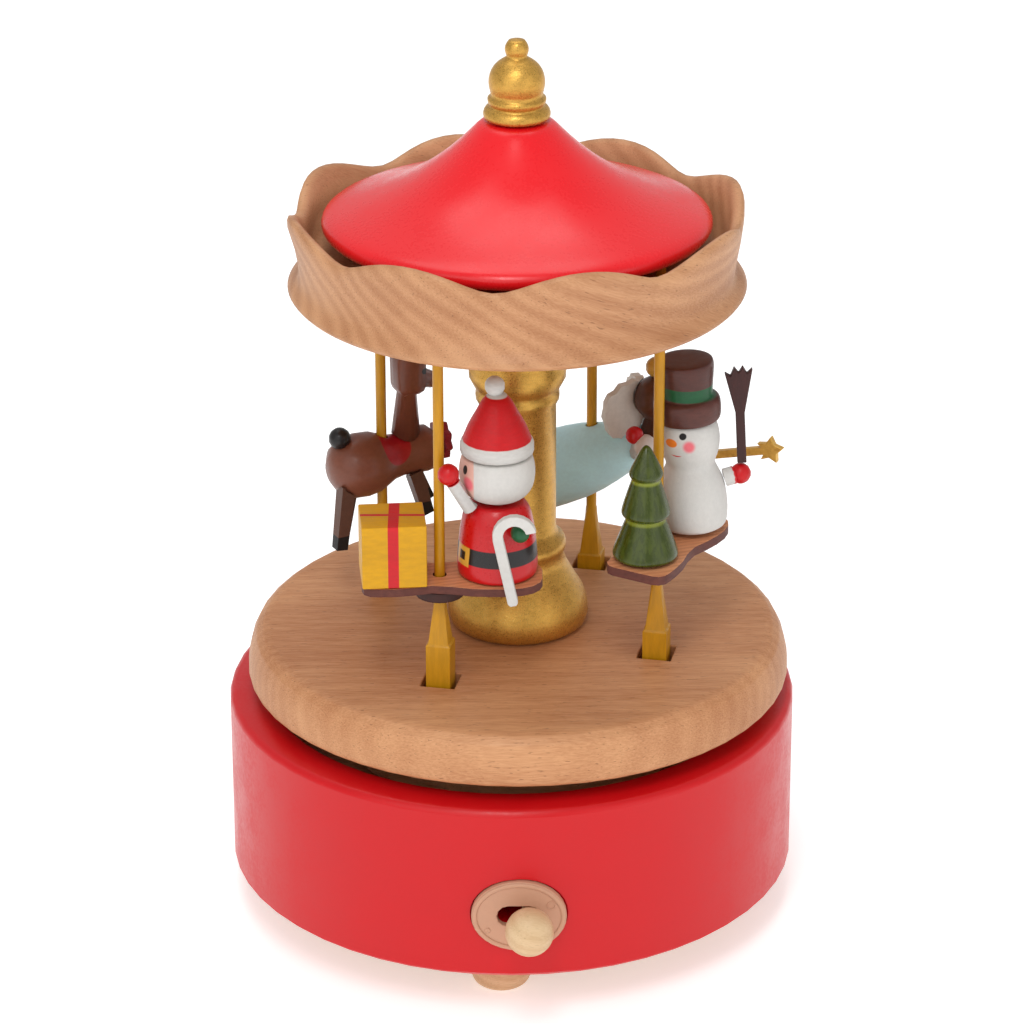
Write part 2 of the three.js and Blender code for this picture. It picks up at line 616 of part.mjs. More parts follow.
// Two scalloped wings cut from thin board, joined behind the neck and swept back.
const wingOutline = [
  [-2.3, 7.2], [0, 6.6], [2.2, 6.9], [3.6, 7.7], [5, 7.9], [6, 9.3], [6.3, 10.8], [7, 12.6], [6.6, 14.5], [6.5, 16],
  [5.6, 17.6], [4.2, 18.1], [3, 19.5], [1.3, 19.6], [-0.4, 20.2], [-2.3, 19.6],
];
const angelWing = (side) => plate(wingOutline, -0.9, 1.8)
  .rotateX(Math.PI / 2).rotateZ(side * rad(130)).translate(10.2, side * 1.5, 0);
const headClear = ball(5.15 + FIT, 18).translate(15.5, 0, 16.4);
add('angel_wings', at3(cut(fuse(angelWing(-1), angelWing(1)), robeClear, headClear, neck(FIT))), WHITE, 0.45);
add('angel_sleeve', at3(cut(fuse(
  bar([12.2, -3, 4.6], [16, -7.6, 8.2], 2.1, 2, 10),
  ball(2.5, 14).translate(16.1, -8, 8.5),
  ball(1.95, 14).translate(13.6, -8, 10.5),
), robeClear, neck(FIT))), WHITE, 0.4);
add('angel_arm', at3(cut(fuse(
  bar([12, 2.6, 4], [22.4, 0.8, 4.2], 2.1, 1.8, 10),
  ball(2.2, 14).translate(24.2, 0.4, 4.6),
), robeClear, neck(FIT))), WHITE, 0.4);

const starOutline = [[-1.7, 0.85], [-15, 0.85], [-15, -0.85], [-1.7, -0.85]];
for (let i = 0; i < 9; i += 1) {
  const t = Math.PI + (Math.PI * (i + 1)) / 5;
  const r = i % 2 === 0 ? 3.1 : 1.7;
  starOutline.push([r * Math.cos(t), r * Math.sin(t)]);
}
const wand = plate(starOutline, -0.75, 1.5).rotateX(Math.PI / 2).rotateY(rad(-15));
add('wand', at3(wand.translate(41.4, 0.2, 9.1)), GOLD, 0.4);

// Rider 4: leaping reindeer, carried by the pole through its back, at the back left.
const deerZ = 92.5;
const heading4 = 28;
const at4 = (geometry) => seat(geometry, 3, deerZ, heading4);
const DEER_PITCH = 3.5;
const rear = (geometry) => geometry.rotateY(rad(90 - DEER_PITCH));
const deerProfile = [
  [0, -12.4], [2.8, -12], [5.2, -10.6], [6.6, -8], [6.95, -5], [6.6, -2], [5.6, 0.2], [4.9, 1.8], [4.6, 4], [4.8, 7],
  [5.1, 9.4], [4.9, 11], [3.6, 12.3], [0, 12.9],
];
const deerBody = rear(turned(deerProfile, 24));
const deerClear = rear(turned(grown(deerProfile, FIT), 24));
add('deer_body', at4(cut(deerBody, rod(POLE_R + FIT, -60, 60, 14))), BROWN, 0.45);
const skull = loft([
  blockSection(1.9, 0.75, 14), blockSection(2.7, 0.75, 14.8), blockSection(3, 0.75, 15.8),
  blockSection(3.1, 0.75, 21.6), blockSection(2.4, 0.75, 23.2),
]);
add('deer_head', at4(cut(fuse(
  bar([5.7, 0, 3.2], [6.1, 0, 14.6], 3.3, 2.1, 16), skull.translate(6.5, 0, 0),
  bar([8.6, 0, 17.4], [12.2, 0, 15.9], 2.3, 1.8, 12),
), deerClear, rod(POLE_R + 0.8, -60, 60, 14))), BROWN, 0.45);
const antlerOutline = [
  [-1.2, 0], [1.2, 0], [1.8, 1.6], [4.6, 1.6], [7, 4.2], [7.4, 8.6], [6.2, 8.6], [5.6, 5.4], [4.4, 4.2], [4.2, 7], [3, 7],
  [3, 3.6], [1.2, 3.4], [-1.2, 3.4], [-3, 3.6], [-3, 7], [-4.2, 7], [-4.4, 4.2], [-5.6, 5.4], [-6.2, 8.6], [-7.4, 8.6],
  [-7, 4.2], [-4.6, 1.6], [-1.8, 1.6],
];
const antlers = plate(antlerOutline, -0.8, 1.6).rotateX(Math.PI / 2).rotateZ(Math.PI / 2);
add('deer_antlers', at4(antlers.translate(6.5, 0, 23.5)), DARK, 0.6);
add('deer_tail', at4(cut(ball(2.4, 14).translate(-9.8, 0, 6.7), deerClear)), 0x26211f, 0.5);
const legEnds = [
  [[-6, 3.2, -4.5], [-8.3, 3.2, -17.5]], [[-10, -3.2, -2.8], [-11.8, -3.2, -17.1]],
  [[7.6, 2.6, -3], [12, 2.6, -12.4]], [[6.2, -2.6, -3], [9.2, -2.6, -13.2]],
];
legEnds.forEach(([top, toe], i) => {
  add(`deer_leg_${i + 1}`, at4(cut(bar(top, toe, 2.2, 1.8, 4), deerClear)), BROWN, 0.5);
});
const bowOutline = [];
for (let i = 0; i < 36; i += 1) {
  const t = (2 * Math.PI * i) / 36;
  const r = 4.1 + 0.45 * Math.cos(9 * t);
  bowOutline.push([r * Math.cos(t), r * Math.sin(t)]);
}
add('deer_bow', at4(plate(bowOutline, 0, 1.5).rotateY(Math.PI / 2).translate(13.4, 0, 1.9)), 0x8e1f2a, 0.6);

export default group;
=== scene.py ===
"""Carousel music box: paint, wood, gold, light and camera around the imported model."""

import json
import math

import bmesh
import bpy
from mathutils import Matrix, Vector


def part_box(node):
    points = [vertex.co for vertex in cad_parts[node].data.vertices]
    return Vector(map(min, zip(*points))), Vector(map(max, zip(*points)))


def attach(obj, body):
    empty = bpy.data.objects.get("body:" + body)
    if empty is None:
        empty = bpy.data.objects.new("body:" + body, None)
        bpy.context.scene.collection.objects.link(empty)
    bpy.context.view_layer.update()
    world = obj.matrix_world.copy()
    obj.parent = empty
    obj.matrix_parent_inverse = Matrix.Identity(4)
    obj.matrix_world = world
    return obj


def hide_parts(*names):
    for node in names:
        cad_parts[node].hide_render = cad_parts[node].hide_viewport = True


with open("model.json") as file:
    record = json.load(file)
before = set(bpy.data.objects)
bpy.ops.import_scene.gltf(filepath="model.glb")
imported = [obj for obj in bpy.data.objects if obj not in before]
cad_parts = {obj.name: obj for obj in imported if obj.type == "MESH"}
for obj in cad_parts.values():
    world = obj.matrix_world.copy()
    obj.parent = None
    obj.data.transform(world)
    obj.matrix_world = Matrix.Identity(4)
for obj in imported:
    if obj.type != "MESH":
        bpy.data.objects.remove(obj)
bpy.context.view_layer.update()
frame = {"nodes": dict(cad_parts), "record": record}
MM = 0.001
ZERO = Vector((0, 0, 0))

# The canopy as it sits in the photograph. Lengths are millimetres.
CANOPY_LEAN = 0.036  # slope: the front stands higher than the back
BAND_WALL = 44  # the band's wall is outside this radius
BEAD = (0.7, 1.7, 1.1)  # swell, height above the band's foot, spread
GROOVE = (-0.7, 4.6, 1.6)

# The camera, fitted to the photograph. Metres, degrees and millimetres of lens.
CAMERA_PLACE = (-0.0012, -0.8748, 0.48)
CAMERA_DOWN = 24.18
CAMERA_ROLL = -0.15
CAMERA_LENS = 160.6
CAMERA_SENSOR = 36

WORLD_LIGHT = 0.55
FLOOR_REACH = 3  # metres to each side
FLOOR_GLOW = 0.4
COAT_ROUGHNESS = 0.22
SOFT = 0.12  # blurred rim of a painted patch: millimetres for a zone, a share of the radius for a dot


def colour(red, green, blue):
    """Linear colour for a paint given as 0 to 255 screen values."""
    linear = []
    for value in (red, green, blue):
        v = value / 255
        linear.append(v / 12.92 if v <= 0.04045 else ((v + 0.055) / 1.055) ** 2.4)
    return (*linear, 1.0)


def shade(tint, factor):
    """A darker or lighter version of a linear colour."""
    return [min(1, c * factor) for c in tint[:3]] + [1.0]


def swell(position, amount, centre, spread):
    """A soft ridge around a position, or a hollow where the amount is negative."""
    return amount * math.exp(-(((position - centre) / spread) ** 2))


# ---- materials -----------------------------------------------------------------------------------
class Look:
    """One procedural material. Lengths are millimetres in the object's own resting frame."""

    def __init__(self, name):
        self.material = bpy.data.materials.new(name)
        self.material.use_nodes = True
        self.tree = self.material.node_tree
        self.shader = self.tree.nodes["Principled BSDF"]
        self.place = self.add("ShaderNodeTexCoord").outputs["Object"]

    def add(self, kind, **settings):
        node = self.tree.nodes.new(kind)
        for key, value in settings.items():
            setattr(node, key, value)
        return node

    def put(self, socket, value):
        if isinstance(value, bpy.types.NodeSocket):
            self.tree.links.new(value, socket)
        else:
            socket.default_value = value

    def space(self, origin=(0, 0, 0), turn=(0, 0, 0), stretch=(1, 1, 1)):
        """Millimetre coordinates from origin, turned with a piece, then stretched."""
        node = self.add("ShaderNodeMapping", vector_type="TEXTURE")
        self.put(node.inputs["Vector"], self.place)
        node.inputs["Location"].default_value = origin
        node.inputs["Rotation"].default_value = turn
        node.inputs["Scale"].default_value = [MM * s for s in stretch]
        return node.outputs["Vector"]

    def parts(self, where):
        """The three coordinates of a place."""
        node = self.add("ShaderNodeSeparateXYZ")
        self.put(node.inputs[0], where)
        return node.outputs[0], node.outputs[1], node.outputs[2]

    def math(self, operation, first, second=0.0):
        node = self.add("ShaderNodeMath", operation=operation)
        self.put(node.inputs[0], first)
        self.put(node.inputs[1], second)
        return node.outputs[0]

    def ramp(self, value, low, high, start=0.0, end=1.0):
        """A smooth step: start up to low, and end from high on."""
        node = self.add("ShaderNodeMapRange", interpolation_type="SMOOTHSTEP")
        self.put(node.inputs["Value"], value)
        node.inputs["From Min"].default_value = low
        node.inputs["From Max"].default_value = high
        node.inputs["To Min"].default_value = start
        node.inputs["To Max"].default_value = end
        return node.outputs["Result"]

    def noise(self, where, size, detail=3.0, rough=0.5):
        """Cloudy noise with marks of about this size in millimetres."""
        node = self.add("ShaderNodeTexNoise")
        self.put(node.inputs["Vector"], where)
        node.inputs["Scale"].default_value = 1 / size
        node.inputs["Detail"].default_value = detail
        node.inputs["Roughness"].default_value = rough
        return node.outputs["Fac"]

    def mix(self, factor, first, second, blend="MIX"):
        node = self.add("ShaderNodeMix", data_type="RGBA", blend_type=blend)
        self.put(node.inputs["Factor"], factor)
        self.put(node.inputs["A"], first)
        self.put(node.inputs["B"], second)
        return node.outputs["Result"]

    def band(self, value, low, high, soft=SOFT):
        """1 between low and high, and 0 outside."""
        rising = self.ramp(value, low - soft, low + soft)
        falling = self.ramp(value, high - soft, high + soft, 1.0, 0.0)
        return self.math("MULTIPLY", rising, falling)

    def spot(self, where, centre, radii, soft=SOFT):
        """1 inside an egg shape about a centre, and 0 outside."""
        away = self.add("ShaderNodeVectorMath", operation="SUBTRACT")
        self.put(away.inputs[0], where)
        away.inputs[1].default_value = centre
        scaled = self.add("ShaderNodeVectorMath", operation="DIVIDE")
        self.put(scaled.inputs[0], away.outputs[0])
        scaled.inputs[1].default_value = radii
        length = self.add("ShaderNodeVectorMath", operation="LENGTH")
        self.put(length.inputs[0], scaled.outputs[0])
        return self.ramp(length.outputs["Value"], 1 - soft, 1 + soft, 1.0, 0.0)

    def finish(self, base, roughness, height, depth, metal=0.0, coat=0.0, specular=0.3):
        """Sets the shader. depth is the relief in millimetres for a height of 0 to 1."""
        bump = self.add("ShaderNodeBump")
        bump.inputs["Strength"].default_value = 1.0
        bump.inputs["Distance"].default_value = depth * MM
        self.put(bump.inputs["Height"], height)
        self.put(self.shader.inputs["Base Color"], base)
        self.put(self.shader.inputs["Roughness"], roughness)
        self.put(self.shader.inputs["Normal"], bump.outputs["Normal"])
        self.shader.inputs["Metallic"].default_value = metal
        self.shader.inputs["Specular IOR Level"].default_value = specular
        self.shader.inputs["Coat Weight"].default_value = coat
        self.shader.inputs["Coat Roughness"].default_value = COAT_ROUGHNESS
        return self.material


def painted(name, base, patches=(), rough=0.4, coat=0.15, depth=0.05, brush=0.08, stretch=(1, 1, 1)):
    """Brushed paint over wood: soft tone changes, fine brush marks and dust nibs.

    patches are (mask, colour) pairs; a mask is a function of the look that gives 0 to 1.
    """
    look = Look(name)
    here = look.space(stretch=stretch)
    cloudy = look.noise(here, size=9.0)
    strokes = look.noise(here, size=0.9, detail=4.0, rough=0.6)
    nibs = look.noise(look.space(), size=0.35, detail=2.0)
    tone = base
    for mask, patch in patches:
        tone = look.mix(mask(look), tone, patch)
    lights = look.ramp(cloudy, 0.3, 0.7, 1.0 - brush, 1.0)
    marks = look.ramp(strokes, 0.3, 0.72, 1.0 - brush, 1.0)
    tone = look.mix(1.0, tone, look.math("MULTIPLY", lights, marks), "MULTIPLY")
    gloss = look.ramp(look.math("ADD", strokes, cloudy), 0.7, 1.3, rough - 0.06, rough + 0.1)
    relief = look.math("ADD", look.math("MULTIPLY", strokes, 0.8), look.math("MULTIPLY", nibs, 0.35))
    return look.finish(tone, gloss, relief, depth, coat=coat)


def wooden(name, light, dark, slope, band, rough=0.5, depth=0.05, fleck=0.5, figure=0.12):
    """Clear-oiled wood: growth bands, long fibres and short dark flecks along the grain.

    The grain runs along X, turned by slope. band is the width of a growth band in millimetres.
    """
    look = Look(name)
    bent = look.space(turn=slope, stretch=(6, 1, 1))
    drift = look.noise(look.space(turn=slope, stretch=(3, 1, 1)), size=16.0, detail=2.0)
    rings = look.add("ShaderNodeTexWave", wave_type="BANDS", bands_direction="Z", wave_profile="SIN")
    look.put(rings.inputs["Vector"], bent)
    rings.inputs["Scale"].default_value = 0.314 / band
    rings.inputs["Distortion"].default_value = 9.0
    rings.inputs["Detail"].default_value = 2.0
    rings.inputs["Detail Scale"].default_value = 0.35
    along = look.space(turn=slope, stretch=(9, 0.5, 0.5))
    fibre = look.noise(along, size=0.55, detail=4.0, rough=0.6)
    dashes = look.noise(look.space(turn=slope, stretch=(3.2, 0.5, 0.5)), size=0.62, detail=1.0)
    flecks = look.ramp(dashes, 0.66, 0.76, 0.0, fleck)
    mixed = look.math("ADD", look.math("MULTIPLY", rings.outputs["Fac"], figure),
                      look.math("MULTIPLY", fibre, 0.45))
    mixed = look.math("ADD", mixed, look.math("MULTIPLY", drift, 0.45))
    even = 0.45 + figure / 2
    tone = look.mix(look.ramp(mixed, even - 0.26, even + 0.26), light, dark)
    tone = look.mix(flecks, tone, shade(dark, 0.45))
    gloss = look.ramp(fibre, 0.3, 0.7, rough - 0.07, rough + 0.1)
    relief = look.math("SUBTRACT", fibre, look.math("MULTIPLY", flecks, 0.8))
    return look.finish(tone, gloss, relief, depth, coat=0.06)


def metallic(name, base, dark, rough=0.35, metal=1.0, grain=0.3, depth=0.03, stretch=(1, 1, 1)):
    """Metal or metallic paint: fine sparkle, brush lines and darker rubbed places."""
    look = Look(name)
    sparkle = look.noise(look.space(), size=grain, detail=2.0, rough=0.6)
    lines = look.noise(look.space(stretch=stretch), size=0.8, detail=4.0, rough=0.6)
    worn = look.noise(look.space(), size=7.0)
    blotch = look.math("ADD", lines, look.math("MULTIPLY", worn, 0.5))
    tone = look.mix(look.ramp(blotch, 0.45, 1.3), base, dark)
    tone = look.mix(look.ramp(sparkle, 0.35, 0.7, 0.0, 0.35), tone, shade(base, 1.5))
    gloss = look.ramp(sparkle, 0.3, 0.7, rough - 0.1, rough + 0.12)
    relief = look.math("ADD", sparkle, look.math("MULTIPLY", lines, 0.6))
    return look.finish(tone, gloss, relief, depth, metal=metal, specular=0.5)


RED = colour(200, 8, 18)
WHITE = colour(208, 205, 200)
BLACK = colour(24, 20, 20)
PINK_SKIN = colour(226, 178, 162)
CHEEK = colour(235, 112, 122)
GREEN = colour(26, 92, 52)
GOLD = colour(214, 160, 62)
BROWN = colour(124, 70, 50)

red_lacquer = painted("red_lacquer", RED, rough=0.34, coat=0.1, depth=0.005, brush=0.02)
dome_lacquer = painted("dome_lacquer", colour(232, 16, 28), rough=0.28, coat=0.3, depth=0.01, brush=0.012)
disc_beech = wooden("disc_beech", colour(212, 157, 112), colour(166, 106, 66), slope=(1.25, 0, 0.02),
                    band=3.4, depth=0.04, figure=0.05, fleck=0.6)
band_beech = wooden("band_beech", colour(206, 154, 112), colour(168, 114, 76), slope=(0.5, 0.42, 0.5),
                    band=3.6, figure=0.13, fleck=0.6)
knob_beech = wooden("knob_beech", colour(218, 188, 148), colour(194, 158, 116), slope=(0.3, 0.2, 0.2),
                    band=2.4, fleck=0.25)
foot_beech = wooden("foot_beech", colour(226, 190, 150), colour(196, 152, 110), slope=(0.2, 0.1, 0.3),
                    band=2.4, fleck=0.3)
cam_beech = wooden("cam_beech", colour(222, 184, 142), colour(190, 146, 102), slope=(0.3, 0.1, 0.1),
                   band=3.0)
raw_ply = wooden("raw_ply", colour(196, 158, 116), colour(160, 118, 78), slope=(1.2, 0.05, 0.1), band=1.4)
gold_paint = metallic("gold_paint", colour(208, 162, 78), colour(168, 122, 48), rough=0.36, metal=0.8,
                      grain=0.3, depth=0.05, stretch=(2, 2, 1))
steel = metallic("steel", colour(186, 188, 190), colour(140, 142, 146), rough=0.3, grain=0.2, depth=0.01,
                 stretch=(6, 1, 1))
brass = metallic("brass", colour(214, 176, 98), colour(168, 128, 60), rough=0.28, grain=0.2, depth=0.01,
                 stretch=(1, 1, 5))
pole_paint = painted("pole_paint", colour(208, 148, 16), rough=0.45, depth=0.03, brush=0.16,
                     stretch=(1, 1, 6))
plate_look = painted("beige_plate", colour(198, 150, 122), rough=0.42, coat=0.0, depth=0.02, brush=0.03)
dark_wood = painted("dark_stain", colour(70, 38, 36), rough=0.5, coat=0.05, depth=0.08, brush=0.25,
                    stretch=(1, 1, 4))


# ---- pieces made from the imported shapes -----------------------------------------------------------
node_body = {}
for body_name, names in frame["record"]["behaviour"]["bodies"].items():
    for name in names:
        node_body[name] = body_name

WELD = 2e-6  # points closer than this, in metres, are one point
SAME_FACE = 0.6  # flat faces within this angle, in degrees, are joined
BEVEL_SHARP = 50  # edges over this angle stay sharp after a bevel
QUAD_BEND = 30  # two triangles that bend less than this, in degrees, join into a quad
QUAD_SKEW = 60  # where the quad's corners are also this near to square
CREASE = 0.85  # how firmly a sharp edge holds when its piece is rounded


def own(piece, body, material):
    """Puts a finished piece in the scene and on its body."""
    bpy.context.scene.collection.objects.link(piece)
    piece.data.materials.clear()
    piece.data.materials.append(material)
    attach(piece, body)
    return piece


def dressed(node, material, edge=0.0, round_off=0, angle=34, segments=2, settle=None):
    """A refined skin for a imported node: joined faces, softened edges or a rounded surface.

    edge is the bevel's width in millimetres, and round_off the levels of rounding. Edges over
    angle degrees count as sharp. settle moves a point by a small amount, for a piece that sits
    or swells a little unevenly.
    """
    mesh = bpy.data.meshes.new(node + "_skin")
    bm = bmesh.new()
    bm.from_mesh(frame["nodes"][node].data)
    bmesh.ops.remove_doubles(bm, verts=bm.verts, dist=WELD)
    limit = math.radians(angle)
    if settle:
        for v in bm.verts:
            v.co = settle(v.co)
    if round_off:
        bmesh.ops.join_triangles(bm, faces=bm.faces, angle_face_threshold=math.radians(QUAD_BEND),
                                 angle_shape_threshold=math.radians(QUAD_SKEW))
        crease = bm.edges.layers.float.new("crease_edge")
        for e in bm.edges:
            if e.is_manifold and e.calc_face_angle(0) > limit:
                e[crease] = CREASE
    else:
        bmesh.ops.dissolve_limit(bm, angle_limit=math.radians(SAME_FACE), verts=bm.verts,
                                 edges=bm.edges)
    if edge:
        sharp = [e for e in bm.edges if e.is_manifold and e.calc_face_angle(0) > limit]
        bmesh.ops.bevel(bm, geom=sharp, offset=edge * MM, segments=segments, profile=0.5,
                        affect="EDGES", clamp_overlap=True)
    bmesh.ops.recalc_face_normals(bm, faces=bm.faces)
    for face in bm.faces:
        face.smooth = True
    bm.to_mesh(mesh)
    bm.free()
    mesh.set_sharp_from_angle(angle=math.radians(BEVEL_SHARP if edge else angle))
    piece = bpy.data.objects.new(node + "_skin", mesh)
    own(piece, node_body[node], material)
    if round_off:
        subdivide = piece.modifiers.new("round", "SUBSURF")
        subdivide.levels = round_off
        subdivide.render_levels = round_off
    if edge:
        weigh = piece.modifiers.new("weigh", "WEIGHTED_NORMAL")
        weigh.keep_sharp = True
    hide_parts(node)
    return piece


def recolour(node, material):
    """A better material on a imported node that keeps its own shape."""
    for slot in frame["nodes"][node].material_slots:
        slot.material = material


# ---- base, movement and turning top ---------------------------------------------------------------
def true_wall(piece, axis_x, radius, upright=0.02, near=0.2 * MM):
    """Shades a turned wall as the round it is, also around the switch opening.

    A normal of length zero leaves the mesh's own normal in place.
    """
    normals = []
    for face in piece.data.polygons:
        for index in face.loop_indices:
            point = piece.data.vertices[piece.data.loops[index].vertex_index].co
            across = Vector((point.x - axis_x, point.y, 0))
            on_wall = abs(face.normal.z) < upright and across.length > radius - near
            normals.append(across.normalized() if on_wall else ZERO)
    piece.data.normals_split_custom_set(normals)


drum = dressed("base_drum", red_lacquer, angle=40)
drum_low, drum_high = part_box("base_drum")
true_wall(drum, (drum_low.x + drum_high.x) / 2, (drum_high.x - drum_low.x) / 2)
for i in (1, 2, 3):
    dressed(f"foot_{i}", foot_beech, round_off=1)
dressed("platform_disc", disc_beech, angle=14, edge=0.35, segments=3)
dressed("column", gold_paint, angle=34)
band_low, band_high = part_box("canopy_band")


def askew(point):
    """The band's foot is level and its rim leans back. A bead and a groove run around its foot."""
    rise = point.z - band_low.z
    share = max(0.0, min(1.0, rise / (band_high.z - band_low.z)))
    out = Vector((point.x, point.y, 0))
    if out.length > BAND_WALL * MM:
        bead = swell(rise / MM, *BEAD) + swell(rise / MM, *GROOVE)
        out = out.normalized() * bead * MM
    else:
        out = ZERO
    return point + out + Vector((0, 0, -point.y * share * CANOPY_LEAN))


def roof_askew(point):
    """The whole roof leans with the band's rim."""
    return point + Vector((0, 0, -point.y * CANOPY_LEAN))


dressed("canopy_band", band_beech, round_off=1, angle=58, settle=askew)
dressed("canopy_roof", dome_lacquer, round_off=1, angle=48, settle=roof_askew)
dressed("finial", gold_paint, round_off=1, angle=42)
dressed("switch_knob", knob_beech, round_off=1, angle=60)
dressed("switch_plate", plate_look, edge=0.25)
for node in ("deck_plate", "bottom_cover"):
    recolour(node, raw_ply)
recolour("cam_ring", cam_beech)
recolour("drive_hub", cam_beech)
for node in ("movement_frame", "music_comb", "stop_lever", "centre_rod"):
    recolour(node, steel)
for node in ("winding_key", "tune_cylinder", "governor_fan", "spring_barrel"):
    recolour(node, brass)


def middle(node):
    """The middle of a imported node's box."""
    low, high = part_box(node)
    return (low + high) / 2


plate_centre = middle("switch_plate")
plate_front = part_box("switch_plate")[0].y


def plate_ring(name, shift, radii, wide, high, sunk, sides):
    """Raised oval ring on the switch plate. Lengths are millimetres from the plate's middle."""
    mesh = bpy.data.meshes.new(name)
    bm = bmesh.new()
    centre = plate_centre + Vector(shift) * MM
    front = plate_front + sunk * MM
    section = [(-wide / 2, 0), (-wide / 2, high * 0.6), (-wide / 4, high), (wide / 4, high),
               (wide / 2, high * 0.6), (wide / 2, 0)]
    loops = []
    for i in range(sides):
        t = 2 * math.pi * i / sides
        loops.append([bm.verts.new(((centre.x + (radii[0] + a) * MM * math.cos(t)), front - b * MM,
                                    centre.z + (radii[1] + a) * MM * math.sin(t))) for a, b in section])
    for i in range(sides):
        here, there = loops[i], loops[(i + 1) % sides]
        for k in range(len(section)):
            m = (k + 1) % len(section)
            bm.faces.new((here[k], there[k], there[m], here[m]))
    bmesh.ops.recalc_face_normals(bm, faces=bm.faces)
    for face in bm.faces:
        face.smooth = True
    bm.to_mesh(mesh)
    bm.free()
    own(bpy.data.objects.new(name, mesh), "base", plate_look)


plate_ring("plate_rim", (0, 0, 0), (9.05, 7.25), wide=0.9, high=0.35, sunk=0.05, sides=72)
plate_ring("mark_ring", (6.6, 0, 2.6), (0.8, 0.8), wide=0.3, high=0.2, sunk=0.03, sides=32)
plate_ring("mark_dot", (-6.4, 0, -3.2), (0.3, 0.3), wide=0.6, high=0.2, sunk=0.03, sides=24)


# ---- riders ---------------------------------------------------------------------------------------
# Each rider's own coordinates are millimetres from its pole's axis, turned by its heading in
# degrees. The two boards carry their riders' zero height, and the two flying riders have their own.
SANTA_HEADING = 180
SNOW_HEADING = 240
ANGEL_HEADING = -25.5
DEER_HEADING = 28
ANGEL_Z = 87.4
DEER_Z = 92.5

CUT_EDGE = 0.6  # a board's face whose normal rises less than this belongs to its burnt edge
WAIST = (0.13, 0.6, 0.07)  # the share of the width it takes in, and its level and spread in the height


def rider_space(number, heading, floor_z):
    """Where a rider's own coordinates start: on its pole's axis at the height floor_z, and turned."""
    axis = middle(f"pole_{number}")
    return (axis.x, axis.y, floor_z), (0, 0, math.radians(heading))


def zone(place, axis, low, high, soft=SOFT):
    """Mask between two positions along one of the rider's own axes."""
    def mask(look):
        return look.band(look.parts(look.space(*place))["XYZ".index(axis)], low, high, soft)
    return mask


def dot(place, centre, radii, soft=SOFT):
    """Oval mask about a point of the rider's own space."""
    def mask(look):
        return look.spot(look.space(*place), centre, radii, soft)
    return mask


def ball(place, centre, radius, soft=SOFT):
    """Round mask about a point of the rider's own space."""
    return dot(place, centre, (radius, radius, radius), soft)


def both(first, second):
    """Mask where two masks meet."""
    def mask(look):
        return look.math("MULTIPLY", first(look), second(look))
    return mask


def poles_and_boards():
    """Painted poles, and the cut boards with their burnt edges on dark collars."""
    for number in (1, 2, 3, 4):
        dressed(f"pole_{number}", pole_paint, edge=0.12, angle=40)
    board_look = wooden("board_wood", colour(232, 164, 116), colour(184, 116, 80), slope=(1.2, 0, 0.3),
                        band=1.5, fleck=0.3)
    burnt_edge = Look("board_edge")
    scorch = burnt_edge.noise(burnt_edge.space(stretch=(2, 2, 1)), size=0.7)
    scorched = burnt_edge.mix(scorch, colour(70, 36, 34), colour(112, 62, 50))
    burnt_edge.finish(scorched, roughness=0.6, height=scorch, depth=0.05)
    collar_look = painted("collar_stain", colour(66, 36, 32), rough=0.5, coat=0.0, brush=0.2)
    for number in (1, 2):
        board = dressed(f"board_{number}", board_look, edge=0.15)
        board.data.materials.append(burnt_edge.material)
        for face in board.data.polygons:
            if abs(face.normal.z) < CUT_EDGE:
                face.material_index = 1
        dressed(f"collar_{number}", collar_look, edge=0.3)


def gift_box(santa):
    """Yellow box with a red ribbon around it and across its lid."""
    ribbon = colour(206, 30, 38)
    around = zone(santa, "X", 8.1, 10.3, 0.05)
    on_lid = both(zone(santa, "Z", 13.75, 20, 0.05), zone(santa, "Y", 0.9, 1.9, 0.05))
    paint = painted("gift_paint", colour(216, 158, 14), [(around, ribbon), (on_lid, ribbon)],
                    rough=0.5, coat=0.05, depth=0.06, brush=0.12, stretch=(3, 1, 1))
    dressed("gift_box", paint, edge=0.3)


def santa_figure(santa):
    """The round gift-bringer: belt and buckle, half-turned face, cap, raised arm and cane."""
    belt = zone(santa, "Z", 4.1, 7.6)
    front_half = zone(santa, "X", -6.2, 0)
    buckle = both(zone(santa, "Z", 3.4, 7.6), both(front_half, zone(santa, "Y", 0.2, 4.2)))
    hole = both(zone(santa, "Z", 4.6, 6.5), both(front_half, zone(santa, "Y", 1.4, 3.2)))
    coat = painted("santa_coat", RED, [(belt, BLACK), (buckle, GOLD), (hole, BLACK)],
                   rough=0.32, coat=0.3, brush=0.06)
    dressed("santa_body", coat, round_off=2, angle=50)
    skin = both(zone(santa, "X", -7.1, 2, 0.08), zone(santa, "Z", 17.4, 27))
    eye = dot(santa, (-5.15, 2.58, 24.4), (0.8, 0.8, 1.05))
    cheek = ball(santa, (-5.74, 3.57, 21.6), 1.5, 0.3)
    face = painted("santa_face", WHITE, [(skin, PINK_SKIN), (eye, BLACK), (cheek, CHEEK)],
                   rough=0.45, coat=0.1, brush=0.06)
    dressed("santa_head", face, round_off=2, angle=50)
    felt = zone(santa, "Z", 29.6, 38.9)
    cap = painted("santa_cap", WHITE, [(felt, RED)], rough=0.42, coat=0.1, brush=0.1, depth=0.1,
                  stretch=(2, 2, 0.6))
    dressed("santa_hat", cap, angle=50)
    mitten = ball(santa, (-2, 4.1, 24), 2.6, 0.05)
    sleeve = painted("santa_sleeve", colour(205, 202, 198), [(mitten, RED)], rough=0.4, coat=0.2)
    dressed("santa_arm", sleeve, angle=50)
    dressed("santa_mitten", painted("green_mitten", GREEN, rough=0.4, coat=0.2), round_off=1)
    dressed("candy_cane", painted("cane_paint", WHITE, rough=0.45, coat=0.05), edge=0.25)


